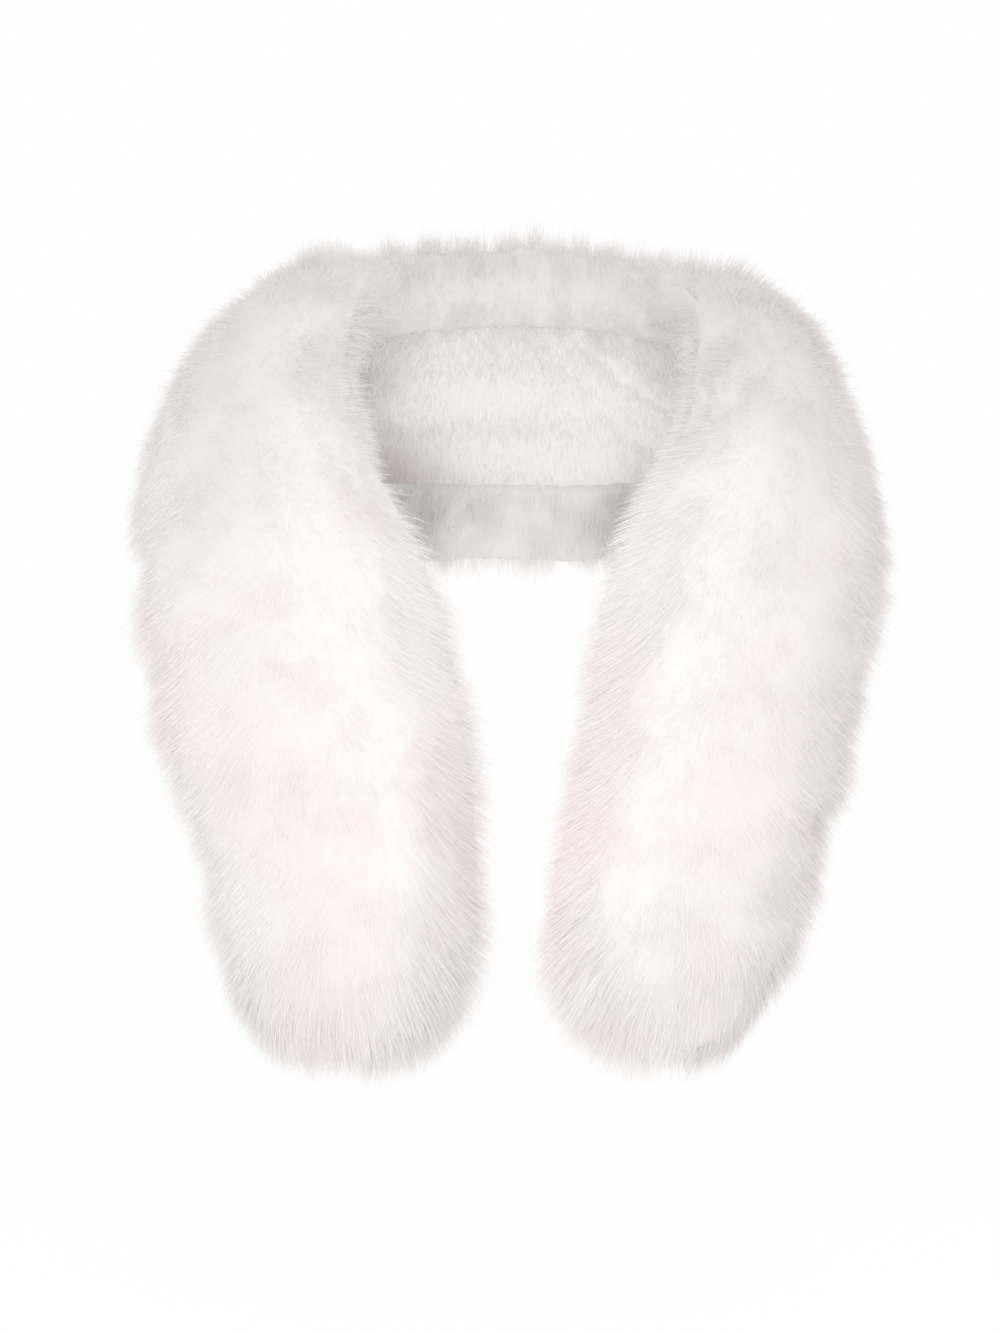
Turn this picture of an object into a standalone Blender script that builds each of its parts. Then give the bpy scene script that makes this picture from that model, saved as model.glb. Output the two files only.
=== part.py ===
"""Fur collar wrap in its worn form: a long-pile fur strip with a plush lining, open at the front.

The strip runs from the hem of the wearer's right front (-X), up over the shoulder, round the back of the
neck and down to the hem of the left front (+X). It is cut in three stretches: a right front, a back neck and
a left front, each a fur piece with its own lining piece inside it. The fur solids are as thick as the pile
is long. +Z is up, -Y is the front, and the origin is the middle of the neck hollow, where the wearer's neck
and shoulders hold the wrap up.

All sizes below are in millimetres.
"""

import math
from typing import NamedTuple

import bmesh
import bpy
import numpy as np

MM = 0.001

COLLECTION_NAME = "fur_collar_wrap"

# Cloth and pile
LINING_THICKNESS = 2.5
FACE_GAP = 0.3  # between the fur's backing and the lining
EDGE_GAP = 0.8  # between the lining's edge and the pile rolled round it
SEAM_GAP = 0.3  # between two stretches at a seam
CROWN = 7.0  # rise of the strip's middle above its two edges
LIP_DEPTH = 9.0  # how far the pile rolls over past the lining's edge
LIP_ROOT = 1.0  # how far the rolled pile stands past the lining's face at its edge
HEM_PILE = 37.0  # pile standing past each hem
HEM_CORNER = 24.0  # radius of the cut's corners at each hem
HEM_SLOPE_START = 16.0  # where the pile's height starts to fall, short of the hem
TIP_HEIGHT = 12.0  # height above the backing at which the pile closes past the hem
TIP_THICKNESS = 0.07  # share of the pile's height left at the very tip
FULLNESS = 2.35  # exponent of the pile's section: 2 is an ellipse, more is fuller
SEAM_PINCH_REACH = 15.0  # how far from a seam the pile starts to sink towards it

# Mesh steps
RING_STEP = 11.0  # distance between two sections along the strip
ARC_STEPS = 18  # round the pile's outer side
LINING_COLUMNS = 6  # across the lining
LIP_ANGLES = (25.0, 50.0, 75.0)  # round each rolled edge, in degrees below the backing
COURSE_STEP = 0.5  # half the distance over which the strip's direction is taken
HEM_STEPS = (0.0, 1.4, 5.0, 11.0, 19.0)  # sections just short of a hem
HEM_END = 0.01  # section that closes over the lining's end, as a share of HEM_PILE past the hem
TIP_STEPS = (0.06, 0.3, 0.55, 0.76, 0.91, 1.0)  # sections from there to the pile's tip, as shares too


class Station(NamedTuple):
    """One row of the cut as worn: both edges of the backing, and how far the pile stands from it."""

    name: str
    neck_edge: tuple
    outer_edge: tuple
    neck_pile: float
    outer_pile: float
    height: float


STATIONS = (
    Station("right hem", (-46, -124, -283), (-113, -85, -286), 33, 31, 42),
    Station("right low chest", (-44, -122, -240), (-118, -80, -246), 34, 31, 46),
    Station("right chest", (-47, -116, -184), (-132, -76, -194), 35, 34, 48),
    Station("right breast", (-56, -108, -124), (-147, -68, -138), 35, 35, 50),
    Station("right collarbone", (-73, -96, -64), (-153, -52, -90), 34, 37, 49),
    Station("right shoulder front", (-90, -74, -10), (-153, -24, -62), 34, 37, 50),
    Station("right shoulder", (-99, -40, 33), (-155, 12, -37), 36, 40, 53),
    Station("right neck side", (-92, -4, 52), (-143, 43, -25), 36, 40, 54),
    Station("right nape corner", (-74, 36, 58), (-112, 74, -30), 36, 40, 50),
    Station("right nape", (-40, 62, 63), (-60, 88, -36), 38, 40, 48),
    Station("nape", (0, 70, 65), (0, 95, -37), 38, 40, 48),
    Station("left nape", (44, 64, 63), (62, 90, -36), 38, 40, 48),
    Station("left nape corner", (82, 40, 56), (116, 76, -28), 34, 40, 49),
    Station("left neck side", (106, -2, 48), (145, 46, -24), 34, 39, 50),
    Station("left shoulder", (110, -38, 24), (154, 16, -40), 35, 37, 49),
    Station("left shoulder front", (101, -74, -12), (154, -20, -62), 36, 37, 48),
    Station("left collarbone", (81, -96, -66), (152, -48, -90), 34, 36, 49),
    Station("left breast", (66, -108, -126), (142, -62, -138), 33, 35, 48),
    Station("left chest", (56, -116, -182), (130, -72, -190), 34, 34, 48),
    Station("left low chest", (47, -122, -234), (117, -80, -240), 36, 33, 46),
    Station("left hem", (47, -126, -281), (106, -88, -284), 36, 32, 42),
)
RIGHT_SEAM = "right neck side"
LEFT_SEAM = "left neck side"
SEAM_PINCHES = {RIGHT_SEAM: 2.0, LEFT_SEAM: 4.0}  # how deep the pile sinks at each seam


class Form(NamedTuple):
    """A dent or swelling of the pile, by its place from the nearest station and round the section."""

    station: str
    along: float  # from the station towards the left hem
    turn: float  # round the section in degrees: 0 neck edge, 90 middle, 180 outer edge
    length: float
    spread: float  # in degrees
    rise: float  # outwards, or inwards where below 0


FORMS = (
    Form("right low chest", -10, 20, 26, 26, 5.0),
    Form("right hem", -22, 150, 14, 26, -5.0),
    Form("right hem", -24, 22, 13, 26, -6.0),
    Form("right neck side", -16, 118, 24, 26, 3.0),
    Form("right chest", 20, 75, 38, 30, 3.0),
    Form("left shoulder front", 4, 140, 22, 30, 3.0),
    Form("left chest", 14, 150, 9, 34, -5.0),
    Form("left hem", 14, 150, 22, 30, -9.0),
    Form("left breast", -18, 70, 34, 28, 3.0),
    Form("left low chest", 6, 60, 24, 30, 3.0),
)


class Fold(NamedTuple):
    """A soft fold of the backing and its lining, raised towards the fur or sunk towards the neck."""

    station: str
    along: float
    across: float  # -1 outer edge, 1 neck edge
    length: float
    width: float
    lean: float  # how far the fold moves along the strip from the outer edge to the neck edge
    rise: float


FOLDS = (
    Fold("nape", 0, -0.10, 70, 0.16, 0, -2.2),
    Fold("nape", 0, 0.30, 60, 0.18, 0, 1.8),
    Fold("left nape corner", -16, 0.25, 9, 0.55, -16, -3.0),
    Fold("left nape corner", -2, 0.25, 9, 0.55, -14, 2.6),
    Fold("right nape corner", 2, 0.20, 10, 0.60, 8, -2.4),
)

# Soft unevenness of the pile, three crossing waves: wavelength along, turns round the section, rise
WAVES = ((83.0, 1.5, 1.3), (52.0, -2.5, 1.2), (36.0, 4.0, 1.0))


def smooth_bump(distance, size):
    """A bell curve that is 1 at distance 0."""
    return math.exp(-((distance / size) ** 2))


class Section(NamedTuple):
    """The strip at one place: its middle, its directions and the pile round it."""

    middle: np.ndarray
    along: np.ndarray
    across: np.ndarray
    out: np.ndarray
    half_width: float
    neck_pile: float
    outer_pile: float
    height: float


class Strip:
    """The strip's course through its stations, by the distance along its middle from the nape."""

    def __init__(self, stations):
        self.rows = np.array(
            [(*s.neck_edge, *s.outer_edge, s.neck_pile, s.outer_pile, s.height) for s in stations],
            dtype=float,
        )
        middles = (self.rows[:, 0:3] + self.rows[:, 3:6]) / 2
        steps = np.linalg.norm(np.diff(middles, axis=0), axis=1)
        knots = np.concatenate(([0.0], np.cumsum(steps)))
        names = [s.name for s in stations]
        self.knots = knots - knots[names.index("nape")]
        self.place = dict(zip(names, self.knots))
        self.slopes = np.gradient(self.rows, self.knots, axis=0)

    @property
    def start(self):
        """The right hem's place."""
        return self.knots[0]

    @property
    def end(self):
        """The left hem's place."""
        return self.knots[-1]

    def row(self, place):
        """The table's columns at a place, by a cubic through the rows."""
        inside = min(max(place, self.start), self.end)
        index = int(np.searchsorted(self.knots, inside, side="right")) - 1
        index = min(max(index, 0), len(self.knots) - 2)
        span = self.knots[index + 1] - self.knots[index]
        t = (inside - self.knots[index]) / span
        from_low = (1 + 2 * t) * (1 - t) ** 2
        from_high = t * t * (3 - 2 * t)
        slope_low = t * (1 - t) ** 2
        slope_high = t * t * (t - 1)
        return (
            from_low * self.rows[index]
            + from_high * self.rows[index + 1]
            + span * (slope_low * self.slopes[index] + slope_high * self.slopes[index + 1])
        )

    def section(self, place):
        """The section at a place, square to the strip's course."""
        row = self.row(place)
        neck_edge = row[0:3]
        outer_edge = row[3:6]
        middle = (neck_edge + outer_edge) / 2
        width = np.linalg.norm(neck_edge - outer_edge)
        across = (neck_edge - outer_edge) / width
        before = self.row(place - COURSE_STEP)
        after = self.row(place + COURSE_STEP)
        course = (after[0:3] + after[3:6]) - (before[0:3] + before[3:6])
        along = course - across * float(course @ across)
        along /= np.linalg.norm(along)
        out = np.cross(across, along)
        return Section(middle, along, across, out, width / 2, row[6], row[7], row[8])

    def past_hem(self, place):
        """How far a place is past the nearer hem: below 0 inside the strip."""
        return max(self.start - place, place - self.end)


def corner_inset(short_of_hem):
    """How far the cut's rounded corner has drawn in each edge at a distance short of the hem."""
    if short_of_hem >= HEM_CORNER:
        return 0.0
    reach = HEM_CORNER - max(short_of_hem, 0.0)
    return HEM_CORNER - math.sqrt(HEM_CORNER**2 - reach**2)


def fold_rise(strip, place, across):
    """The backing's own height at a point: its crown and its folds."""
    rise = CROWN * (1 - across * across)
    for fold in FOLDS:
        centre = strip.place[fold.station] + fold.along + fold.lean * across
        rise += (
            fold.rise
            * smooth_bump(place - centre, fold.length)
            * smooth_bump(across - fold.across, fold.width)
        )
    return rise


def pile_rise(strip, place, turn):
    """Dents, swellings, seam pinches and soft unevenness of the pile's outer side, in millimetres."""
    rise = 0.0
    for form in FORMS:
        centre = strip.place[form.station] + form.along
        rise += (
            form.rise
            * smooth_bump(place - centre, form.length)
            * smooth_bump(turn - form.turn, form.spread)
        )
    for seam, depth in SEAM_PINCHES.items():
        rise -= depth * smooth_bump(place - strip.place[seam], SEAM_PINCH_REACH)
    for wavelength, turns, height in WAVES:
        rise += height * math.sin(2 * math.pi * place / wavelength + turns * math.radians(turn))
    return rise


def backing_points(strip, place, lift=0.0):
    """A row of points across the backing from the outer edge to the neck edge, raised by lift."""
    section = strip.section(place)
    half = section.half_width - corner_inset(-strip.past_hem(place))
    points = []
    for column in range(LINING_COLUMNS + 1):
        across = 2 * column / LINING_COLUMNS - 1
        rise = fold_rise(strip, place, across)
        points.append(section.middle + section.across * (across * half) + section.out * (rise + lift))
    return points


def lining_ring(strip, place):
    """The closed section of the lining at a place."""
    upper = backing_points(strip, place)
    lower = backing_points(strip, place, -LINING_THICKNESS)
    return upper + lower[::-1]


def height_share(past_hem):
    """How much of the pile's height is left at a distance past the hem, from 1 down to the tip's share."""
    slope = (past_hem + HEM_SLOPE_START) / (HEM_PILE + HEM_SLOPE_START)
    slope = min(max(slope, 0.0), 1.0)
    return max((1 - slope**FULLNESS) ** (1 / FULLNESS), TIP_THICKNESS)


def pile_reach(half_width, pile, past_hem):
    """How far from the strip's middle the pile reaches at one edge, round the cut's rounded corner too."""
    if past_hem <= -HEM_CORNER:
        return half_width + pile
    radius = HEM_CORNER + pile
    run = radius * (HEM_CORNER + past_hem) / (HEM_CORNER + HEM_PILE)
    return half_width - HEM_CORNER + math.sqrt(max(radius**2 - run**2, 0.0))


def lip_line(side, inner, outer, base, depth):
    """The pile rolled over one edge of the lining, from its full reach in to the lining, across and out."""
    line = []
    for angle in LIP_ANGLES:
        turn = math.radians(angle)
        across = inner + (outer - inner) * math.cos(turn)
        line.append((side * across, base - depth * math.sin(turn)))
    return line


def pile_line(strip, place, neck_reach, outer_reach, base, height, share):
    """The pile's outer side from its neck edge over the middle to its outer edge, across and out."""
    line = []
    for step in range(ARC_STEPS + 1):
        degrees = 180 * step / ARC_STEPS
        cosine = math.cos(math.radians(degrees))
        sine = math.sin(math.radians(degrees))
        reach = neck_reach if cosine > 0 else outer_reach
        across = math.copysign(reach * abs(cosine) ** (2 / FULLNESS), cosine)
        out = base + height * sine ** (2 / FULLNESS)
        rise = pile_rise(strip, place, degrees) * share
        line.append((across + rise * cosine, out + rise * sine))
    return line


def fur_ring(strip, place, past=0.0):
    """The closed section of the fur at a place, or past a hem there by a share of the hem's pile."""
    section = strip.section(place)
    past_hem = strip.past_hem(place) + past * HEM_PILE
    half = section.half_width - corner_inset(-past_hem)
    hem_side = 1.0 if place > 0 else -1.0
    shift = section.along * (hem_side * past * HEM_PILE)
    middle = section.middle + shift

    share = height_share(past_hem)
    base = TIP_HEIGHT * (1 - share)
    lip_root = base - (LINING_THICKNESS + LIP_ROOT) * share
    edge = half + EDGE_GAP
    neck_reach = pile_reach(section.half_width, section.neck_pile, past_hem)
    outer_reach = pile_reach(section.half_width, section.outer_pile, past_hem)
    neck_lip = lip_line(1, edge, neck_reach, base, LIP_DEPTH * share)
    outer_lip = lip_line(-1, edge, outer_reach, base, LIP_DEPTH * share)
    line = [
        (edge, lip_root),
        *reversed(neck_lip),
        *pile_line(strip, place, neck_reach, outer_reach, base, section.height * share, share),
        *outer_lip,
        (-edge, lip_root),
    ]
    if past > HEM_END:
        columns = [2 * column / LINING_COLUMNS - 1 for column in range(LINING_COLUMNS + 1)]
        line += [(half * column, lip_root) for column in columns]
        return [middle + section.across * across + section.out * out for across, out in line]
    ring = [middle + section.across * across + section.out * out for across, out in line]
    ring.append(middle - section.across * edge + section.out * FACE_GAP)
    ring += [point + shift for point in backing_points(strip, place, FACE_GAP)[1:-1]]
    ring.append(middle + section.across * edge + section.out * FACE_GAP)
    return ring


def even_places(first, last):
    """Places from first to last, about a ring's step apart, without first itself."""
    count = max(round(abs(last - first) / RING_STEP), 1)
    return [first + (last - first) * step / count for step in range(1, count + 1)]


def seam_shift(strip, seam, side):
    """Half the seam's gap, to one side of it along the strip."""
    return strip.section(seam).along * (side * SEAM_GAP / 2)


def front_places(hem, seam):
    """Places from a front's hem to its seam."""
    toward_seam = 1.0 if seam > hem else -1.0
    near_hem = [hem + toward_seam * step for step in HEM_STEPS]
    return near_hem + even_places(near_hem[-1], seam)


def front_pieces(strip, hem, seam):
    """The sections of one front's fur and of its lining, from the hem to the seam."""
    places = front_places(hem, seam)
    fur = [fur_ring(strip, hem, past) for past in reversed((HEM_END, *TIP_STEPS))]
    fur += [fur_ring(strip, place) for place in places]
    lining = [lining_ring(strip, place) for place in places]
    shift = seam_shift(strip, seam, 1.0 if hem > seam else -1.0)
    for rings in (fur, lining):
        rings[-1] = [point + shift for point in rings[-1]]
    return fur, lining


def back_pieces(strip, right_seam, left_seam):
    """The sections of the back-neck stretch's fur and of its lining, from seam to seam."""
    places = [right_seam, *even_places(right_seam, left_seam)]
    fur = [fur_ring(strip, place) for place in places]
    lining = [lining_ring(strip, place) for place in places]
    for index, seam, side in ((0, right_seam, 1.0), (-1, left_seam, -1.0)):
        shift = seam_shift(strip, seam, side)
        for rings in (fur, lining):
            rings[index] = [point + shift for point in rings[index]]
    return fur, lining


def new_object(name, bm, origin, collection, parent, material):
    """Makes a named object of a mesh whose points are in millimetres from the part's origin."""
    bmesh.ops.translate(bm, verts=bm.verts, vec=[-value for value in origin])
    bmesh.ops.scale(bm, verts=bm.verts, vec=(MM, MM, MM))
    mesh = bpy.data.meshes.new(name)
    bm.to_mesh(mesh)
    bm.free()
    mesh.shade_smooth()
    mesh.materials.append(material)
    obj = bpy.data.objects.new(name, mesh)
    obj.location = [value * MM for value in origin]
    obj.parent = parent
    collection.objects.link(obj)
    return obj


def loft(rings):
    """A closed body through rings of equally many points, with a flat face over each end."""
    bm = bmesh.new()
    lines = [[bm.verts.new(point) for point in ring] for ring in rings]
    for low, high in zip(lines, lines[1:]):
        for index in range(len(low)):
            after = (index + 1) % len(low)
            bm.faces.new((low[index], low[after], high[after], high[index]))
    bm.faces.new(list(reversed(lines[0])))
    bm.faces.new(lines[-1])
    bmesh.ops.recalc_face_normals(bm, faces=bm.faces)
    return bm


def finish(name, colour, roughness, sheen):
    """A cloth material."""
    material = bpy.data.materials.new(name)
    material.use_nodes = True
    shader = material.node_tree.nodes["Principled BSDF"]
    shader.inputs["Base Color"].default_value = (*colour, 1.0)
    shader.inputs["Roughness"].default_value = roughness
    shader.inputs["Metallic"].default_value = 0.0
    shader.inputs["Sheen Weight"].default_value = sheen
    material.diffuse_color = (*colour, 1.0)
    return material


def add_stretch(name, pieces, hold, collection, fur_finish, lining_finish):
    """Adds one stretch of the wrap: its fur and the lining inside it."""
    fur, lining = pieces
    origin = lining[len(lining) // 2][LINING_COLUMNS // 2]
    new_object(f"fur_{name}", loft(fur), origin, collection, hold, fur_finish)
    new_object(f"lining_{name}", loft(lining), origin, collection, hold, lining_finish)


def clear_scene():
    """Removes whatever the scene holds."""
    for obj in list(bpy.data.objects):
        bpy.data.objects.remove(obj, do_unlink=True)


def main():
    """Builds the wrap."""
    clear_scene()
    collection = bpy.data.collections.new(COLLECTION_NAME)
    bpy.context.scene.collection.children.link(collection)
    hold = bpy.data.objects.new("neck_hold", None)
    collection.objects.link(hold)

    fur = finish("white_fur", colour=(0.92, 0.89, 0.88), roughness=0.85, sheen=0.35)
    plush = finish("plush_lining", colour=(0.93, 0.88, 0.87), roughness=0.9, sheen=0.5)

    strip = Strip(STATIONS)
    right_seam = strip.place[RIGHT_SEAM]
    left_seam = strip.place[LEFT_SEAM]
    stretches = (
        ("right_front", front_pieces(strip, strip.start, right_seam)),
        ("back_neck", back_pieces(strip, right_seam, left_seam)),
        ("left_front", front_pieces(strip, strip.end, left_seam)),
    )
    for name, pieces in stretches:
        add_stretch(name, pieces, hold, collection, fur, plush)


main()
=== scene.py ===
"""Dresses the fur collar wrap: long white pile on its cloth, and a plush lining inside it.

The wrap is one strip, worn: from the hem of the wearer's right front (-X) up over the shoulder, round the
back of the neck and down to the hem of the left front (+X). Every form is measured in millimetres along the
strip's course and round its section, and meshes are made in metres in the part's own frame.
"""

import logging
import math
from dataclasses import dataclass, field
from enum import Enum
from itertools import product
from typing import Mapping, NamedTuple, Sequence

import bpy
import numpy as np
from bpy.types import ID, Material, Mesh, Node, NodeSocket, NodeTree, Object
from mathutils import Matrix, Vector
from numpy.random import Generator


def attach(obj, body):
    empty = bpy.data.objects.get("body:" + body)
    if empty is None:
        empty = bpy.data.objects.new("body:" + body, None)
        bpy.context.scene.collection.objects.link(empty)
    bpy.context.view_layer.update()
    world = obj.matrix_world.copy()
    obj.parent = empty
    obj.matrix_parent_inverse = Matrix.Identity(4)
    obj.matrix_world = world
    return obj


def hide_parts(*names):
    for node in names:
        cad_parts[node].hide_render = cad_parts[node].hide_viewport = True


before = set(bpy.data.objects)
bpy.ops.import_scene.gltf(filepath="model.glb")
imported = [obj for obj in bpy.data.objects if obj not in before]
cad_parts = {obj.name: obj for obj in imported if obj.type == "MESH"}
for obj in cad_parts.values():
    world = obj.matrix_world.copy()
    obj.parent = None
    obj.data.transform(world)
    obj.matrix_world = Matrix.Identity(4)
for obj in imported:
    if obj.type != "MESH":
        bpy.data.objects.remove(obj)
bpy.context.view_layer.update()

MM = 0.001
HALF_WIDTH = 50.0
HALF_TURN = 180.0
RIGHT_SPLIT = -310
LEFT_SPLIT = 320
CHEST_HAIRS = 55000
SHOULDER_HAIRS = 44500
NAPE_HAIRS = 37500
HAIR_SEED = 1000
WOOL_SEED = 2000
MAP_EDGE = 0.01
MIX_ENDS = (6, 7)
MIX_RESULT = 2
BODY = "root"
LOG = logging.getLogger("collar_wrap")

Array = np.ndarray
Triple = tuple[float, float, float]
Colour = Triple
Span = tuple[float, float]


class Station(NamedTuple):
    """One row of the cut as worn: both edges of the backing, and how far the pile stands from it."""

    name: str
    neck_edge: Triple
    outer_edge: Triple
    neck_pile: float
    outer_pile: float
    height: float


STATIONS = (
    Station("right hem", (-46, -124, -283), (-113, -85, -286), 33, 31, 42),
    Station("right low chest", (-44, -122, -240), (-118, -80, -246), 34, 31, 46),
    Station("right chest", (-47, -116, -184), (-132, -76, -194), 35, 34, 48),
    Station("right breast", (-56, -108, -124), (-147, -68, -138), 35, 35, 50),
    Station("right collarbone", (-73, -96, -64), (-153, -52, -90), 34, 37, 49),
    Station("right shoulder front", (-90, -74, -10), (-153, -24, -62), 34, 37, 50),
    Station("right shoulder", (-99, -40, 33), (-155, 12, -37), 36, 40, 53),
    Station("right neck side", (-92, -4, 52), (-143, 43, -25), 36, 40, 54),
    Station("right nape corner", (-74, 36, 58), (-112, 74, -30), 36, 40, 50),
    Station("right nape", (-40, 62, 63), (-60, 88, -36), 38, 40, 48),
    Station("nape", (0, 70, 65), (0, 95, -37), 38, 40, 48),
    Station("left nape", (44, 64, 63), (62, 90, -36), 38, 40, 48),
    Station("left nape corner", (82, 40, 56), (116, 76, -28), 34, 40, 49),
    Station("left neck side", (106, -2, 48), (145, 46, -24), 34, 39, 50),
    Station("left shoulder", (110, -38, 24), (154, 16, -40), 35, 37, 49),
    Station("left shoulder front", (101, -74, -12), (154, -20, -62), 36, 37, 48),
    Station("left collarbone", (81, -96, -66), (152, -48, -90), 34, 36, 49),
    Station("left breast", (66, -108, -126), (142, -62, -138), 33, 35, 48),
    Station("left chest", (56, -116, -182), (130, -72, -190), 34, 34, 48),
    Station("left low chest", (47, -122, -234), (117, -80, -240), 36, 33, 46),
    Station("left hem", (47, -126, -281), (106, -88, -284), 36, 32, 42),
)
RIGHT_SEAM = "right neck side"
LEFT_SEAM = "left neck side"


class Stretch(Enum):
    """The strip's three cut lengths."""

    RIGHT_FRONT = "right_front"
    BACK_NECK = "back_neck"
    LEFT_FRONT = "left_front"


class Form(NamedTuple):
    """A soft local change of the pile, by its place from the nearest station and round the section."""

    station: str
    along: float
    turn: float
    length: float
    spread: float
    rise: float


# Dents and swellings of the pile's skin, in millimetres.
SWELLINGS = (
    Form("right low chest", -10, 20, 26, 26, 5.0),
    Form("right hem", -22, 150, 14, 26, -5.0),
    Form("right hem", -24, 22, 13, 26, -6.0),
    Form("right neck side", -16, 118, 24, 26, 3.0),
    Form("right chest", 20, 75, 38, 30, 3.0),
    Form("left shoulder front", 4, 140, 22, 30, 3.0),
    Form("left chest", 14, 150, 9, 34, -5.0),
    Form("left hem", 14, 150, 22, 30, -9.0),
    Form("left breast", -18, 70, 34, 28, 3.0),
    Form("left low chest", 6, 60, 24, 30, 3.0),
)

# Where the pile is cut shorter or left longer, as a share of its length.
TRIMS = (
    Form("right collarbone", 30, -10, 26, 55, -0.30),
    Form("right shoulder", -26, -20, 24, 50, -0.26),
    Form("right neck side", 4, 65, 34, 32, 0.10),
    Form("left shoulder front", 8, -10, 27, 50, -0.26),
    Form("left collarbone", 26, 0, 30, 40, 0.14),
    Form("left neck side", 0, 65, 42, 34, 0.12),
)


class Fold(NamedTuple):
    """A soft fold of the cloth, raised towards the fur or sunk towards the neck."""

    station: str
    along: float
    across: float
    length: float
    width: float
    lean: float
    rise: float


FOLDS = (
    Fold("nape", 0, -0.10, 70, 0.16, 0, -2.2),
    Fold("nape", 0, 0.30, 60, 0.18, 0, 1.8),
    Fold("left nape corner", -16, 0.25, 9, 0.55, -16, -3.0),
    Fold("left nape corner", -2, 0.25, 9, 0.55, -14, 2.6),
    Fold("right nape corner", 2, 0.20, 10, 0.60, 8, -2.4),
)


class Crease(NamedTuple):
    """A soft ridge of a lining between two of its points, or a trough where the rise is below 0.

    A point is millimetres along the strip, and -1 at the outer edge to 1 at the neck edge.
    """

    start: tuple[float, float]
    end: tuple[float, float]
    width: float
    rise: float


CREASES = (
    Crease((-52, -0.60), (40, -0.72), 9.0, 1.1),
    Crease((-60, -0.30), (34, -0.36), 6.0, -0.45),
    Crease((-40, 0.12), (30, 0.02), 10.0, 0.8),
    Crease((34, 0.86), (92, -0.16), 5.5, 2.6),
    Crease((46, 0.90), (72, 0.22), 4.0, -1.4),
    Crease((64, 0.98), (104, 0.10), 5.2, 2.3),
    Crease((18, 0.74), (58, -0.30), 6.0, 1.2),
    Crease((86, 0.60), (118, -0.20), 4.0, -1.4),
    Crease((52, -0.20), (88, -0.70), 4.6, 2.0),
    Crease((-102, 0.80), (-88, -0.50), 6.0, -1.4),
    Crease((-84, 0.86), (-62, 0.10), 5.0, 2.2),
    Crease((-76, 0.00), (-48, -0.34), 5.0, 1.5),
    Crease((-118, 0.60), (-112, -0.50), 5.0, 2.2),
    Crease((-172, 0.70), (-160, -0.60), 7.0, 2.4),
    Crease((-196, 0.50), (-204, -0.66), 6.0, 2.0),
    Crease((-236, 0.30), (-250, -0.50), 8.0, 1.8),
    Crease((-300, -0.20), (-400, -0.34), 8.0, 1.8),
    Crease((-330, 0.42), (-420, 0.50), 7.0, 1.5),
    Crease((-440, -0.10), (-470, 0.20), 7.0, 1.6),
    Crease((170, 0.66), (158, -0.52), 6.4, 2.4),
    Crease((200, 0.58), (212, -0.60), 7.0, 2.0),
    Crease((244, 0.10), (262, -0.60), 7.6, 1.8),
    Crease((306, -0.30), (392, -0.20), 8.4, 1.7),
    Crease((340, 0.38), (436, 0.54), 7.0, 1.5),
    Crease((430, -0.30), (474, 0.06), 7.4, 1.5),
)


class Patch(NamedTuple):
    """A soft patch: its middle along the strip and across or round it, its two sizes and its strength."""

    place: float | Array
    side: float
    length: float
    spread: float
    strength: float


def unit(vectors: Array) -> Array:
    """The same vectors at length 1."""
    return vectors / np.maximum(np.linalg.norm(vectors, axis=-1, keepdims=True), 1e-12)


def bell(distance: Array, size: float) -> Array:
    """A bell curve that is 1 at distance 0."""
    return np.exp(-((distance / size) ** 2))


def ease(value: Array, low: float, high: float) -> Array:
    """A smooth step from 0 at low to 1 at high."""
    share = np.clip((value - low) / (high - low), 0.0, 1.0)
    return share * share * (3 - 2 * share)


def past_edges(turn: Array) -> Array:
    """How far turns have rolled past the nearer edge, in degrees: below 0 on the face."""
    return np.maximum(-turn, turn - HALF_TURN)


def add_patches(value: Array, patches: Sequence[Patch], places: Array, sides: Array) -> Array:
    """Adds soft patches to a value.

    Args:
        value: what the patches are added to.
        patches: the patches.
        places: millimetres along the strip.
        sides: the way across or round the strip, in the patches' own measure.

    Returns:
        The sum, by the inputs' common shape.
    """
    for patch in patches:
        near = patch.strength * bell(places - patch.place, patch.length)
        value = value + near * bell(sides - patch.side, patch.spread)
    return value


def curve(root: Array, bend: Array, tip: Array, share: Array) -> Array:
    """Points on the curves from roots, towards bends, to tips."""
    return (1 - share) ** 2 * root + 2 * share * (1 - share) * bend + share**2 * tip


@dataclass
class Sections:
    """The strip's sections at some places: middles, directions, half widths and the pile round them."""

    middle: Array
    along: Array
    across: Array
    out: Array
    half: Array
    neck_pile: Array
    outer_pile: Array
    height: Array


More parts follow.
